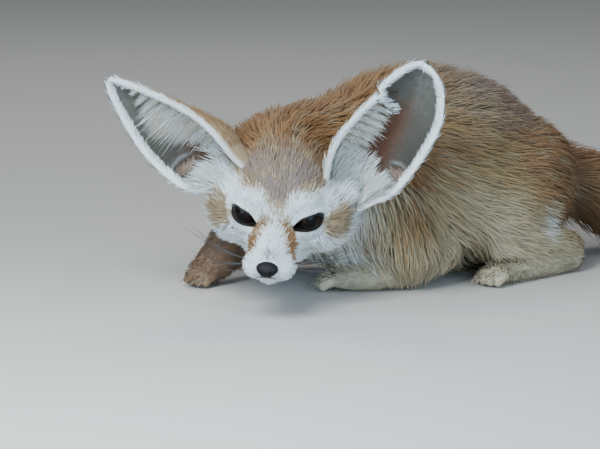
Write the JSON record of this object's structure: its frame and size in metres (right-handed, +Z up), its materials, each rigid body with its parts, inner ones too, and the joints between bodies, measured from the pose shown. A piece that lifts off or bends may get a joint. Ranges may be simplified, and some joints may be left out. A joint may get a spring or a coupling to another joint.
{
  "type": "fennec fox model",
  "caption": "Life-size model of a fennec fox resting with its head low and turned to its left, ears spread and tail curled.",
  "frame": {"origin": "on the floor, below the middle of the fox's bounding box", "axes": "+X towards the tail, the fox's left side faces -Y, +Z up"},
  "size_m": [0.4094, 0.2247, 0.1543],
  "materials": {
    "ear_left": "fur",
    "ear_right": "fur",
    "eye_left": "glossy black-brown",
    "eye_right": "glossy black-brown",
    "foreleg_left": "fur",
    "foreleg_right": "fur",
    "forepaw_left": "fur",
    "forepaw_right": "fur",
    "head": "fur",
    "hind_foot_left": "fur",
    "hind_foot_right": "fur",
    "neck": "fur",
    "nose": "satin black",
    "shank_left": "fur",
    "shank_right": "fur",
    "tail_middle": "fur",
    "tail_root": "fur",
    "tail_tip": "fur",
    "thigh_left": "fur",
    "thigh_right": "fur",
    "torso": "fur"
  },
  "bodies": {
    "root": {"ear_left": "ear_left", "ear_right": "ear_right", "eye_left": "eye_left", "eye_right": "eye_right", "foreleg_left": "foreleg_left", "foreleg_right": "foreleg_right", "forepaw_left": "forepaw_left", "forepaw_right": "forepaw_right", "head": "head", "hind_foot_left": "hind_foot_left", "hind_foot_right": "hind_foot_right", "neck": "neck", "nose": "nose", "shank_left": "shank_left", "shank_right": "shank_right", "tail_middle": "tail_middle", "tail_root": "tail_root", "tail_tip": "tail_tip", "thigh_left": "thigh_left", "thigh_right": "thigh_right", "torso": "torso"}
  },
  "joints": []
}
